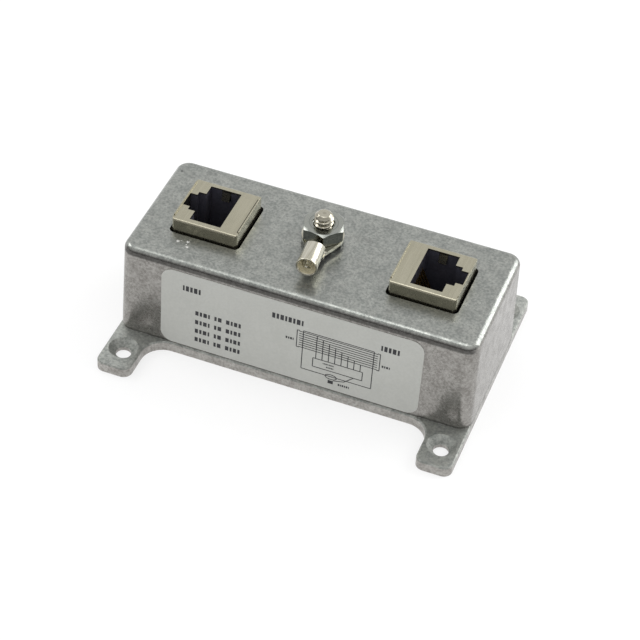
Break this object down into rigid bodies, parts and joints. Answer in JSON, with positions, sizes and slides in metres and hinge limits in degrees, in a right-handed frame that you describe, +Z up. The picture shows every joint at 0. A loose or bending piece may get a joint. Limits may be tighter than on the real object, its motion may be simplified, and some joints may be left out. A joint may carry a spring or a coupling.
{
  "type": "ethernet surge protector",
  "caption": "Die-cast box with mounting ears, shielded modular sockets in its top and a ground stud with a crimp ring terminal between them.",
  "frame": {"origin": "on the base plane, under the middle of the box and its ears", "axes": "+X along the box from the left socket to the right one, +Y to the back away from the label, +Z up out of the sockets"},
  "size_m": [0.0808, 0.0582, 0.0331],
  "materials": {
    "cast_aluminium": "as-cast, finely mottled",
    "plate_aluminium": "mill finish sheet",
    "zinc_steel": "bright zinc plate",
    "nickel_steel": "polished nickel plate",
    "shield_nickel": "satin nickel-plated sheet",
    "tinned_copper": "bright tin plate",
    "black_moulding": "moulded nylon",
    "gold_plate": "gold-plated spring bronze",
    "label_film": "satin printed polyester film",
    "board_laminate": "solder-masked glass laminate",
    "tube_ceramic": "glazed ceramic with metal rings",
    "diode_moulding": "moulded epoxy"
  },
  "bodies": {
    "case": {"housing": "cast_aluminium", "base_plate": "plate_aluminium", "base_screws": "zinc_steel", "label": "label_film", "circuit_board": "board_laminate", "board_screws": "zinc_steel", "ground_stud": "nickel_steel", "ground_strap": "tinned_copper", "lock_washer": "zinc_steel", "left_jack_shield": "shield_nickel", "left_jack_insulator": "black_moulding", "left_contact_carrier": "black_moulding", "left_contact_1": "gold_plate", "left_contact_2": "gold_plate", "left_contact_3": "gold_plate", "left_contact_4": "gold_plate", "left_contact_5": "gold_plate", "left_contact_6": "gold_plate", "left_contact_7": "gold_plate", "left_contact_8": "gold_plate", "right_jack_shield": "shield_nickel", "right_jack_insulator": "black_moulding", "right_contact_carrier": "black_moulding", "right_contact_1": "gold_plate", "right_contact_2": "gold_plate", "right_contact_3": "gold_plate", "right_contact_4": "gold_plate", "right_contact_5": "gold_plate", "right_contact_6": "gold_plate", "right_contact_7": "gold_plate", "right_contact_8": "gold_plate", "gas_tube_1": "tube_ceramic", "gas_tube_2": "tube_ceramic", "gas_tube_3": "tube_ceramic", "gas_tube_4": "tube_ceramic", "clamp_diode_1": "diode_moulding", "clamp_diode_2": "diode_moulding", "clamp_diode_3": "diode_moulding", "clamp_diode_4": "diode_moulding", "clamp_diode_5": "diode_moulding", "clamp_diode_6": "diode_moulding", "clamp_diode_7": "diode_moulding", "clamp_diode_8": "diode_moulding"},
    "terminal": {"ring_terminal": "tinned_copper"},
    "nut": {"ground_nut": "nickel_steel"}
  },
  "joints": [
    {"name": "nut_turn", "type": "hinge", "parent": "case", "child": "nut", "pos_m": [-0.0012, 0.0027, 0.02894], "axis": [0, 0, 1], "range_deg": [0, 1080]},
    {"name": "terminal_swivel", "type": "hinge", "parent": "case", "child": "terminal", "pos_m": [-0.0012, 0.0027, 0.02654], "axis": [0, 0, 1], "continuous": true}
  ]
}
